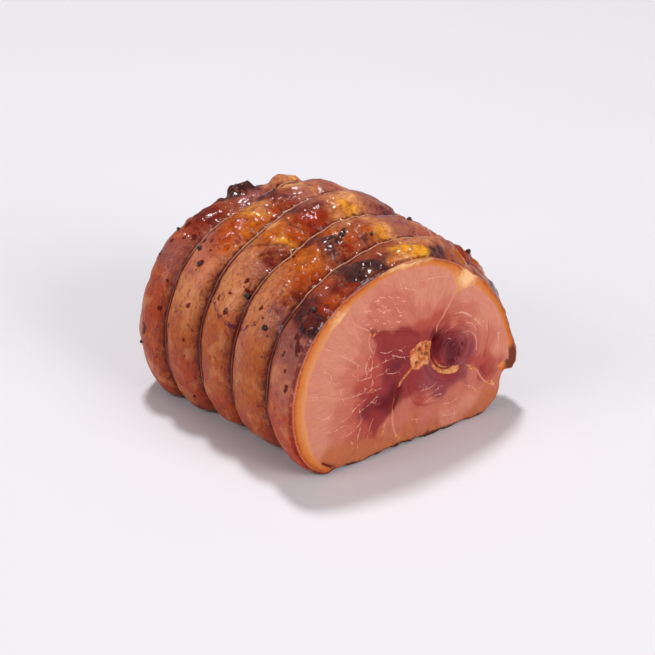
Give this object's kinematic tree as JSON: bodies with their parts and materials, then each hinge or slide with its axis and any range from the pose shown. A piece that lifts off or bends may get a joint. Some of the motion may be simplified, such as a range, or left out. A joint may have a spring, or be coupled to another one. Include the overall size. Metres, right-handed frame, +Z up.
{
  "type": "smoked gammon joint",
  "caption": "Boned, rolled and twine-tied joint of smoked gammon, roasted and glazed, with a flat cut face showing pink lean under a rim of golden fat.",
  "frame": {"origin": "on the resting plane, under the middle of the joint's box", "axes": "+Z up, -Y out of the cut face, +X to the right as the cut face is looked at"},
  "size_m": [0.1668, 0.149, 0.1205],
  "materials": {
    "meat": "glazed amber rind with dark scorched patches over a golden fat rim, pink cured lean on the cut face",
    "twine": "twisted cotton butcher's twine, stained by the glaze"
  },
  "bodies": {
    "root": {"gammon": "meat", "twine_1": "twine", "twine_2": "twine", "twine_3": "twine", "twine_4": "twine"}
  },
  "joints": []
}
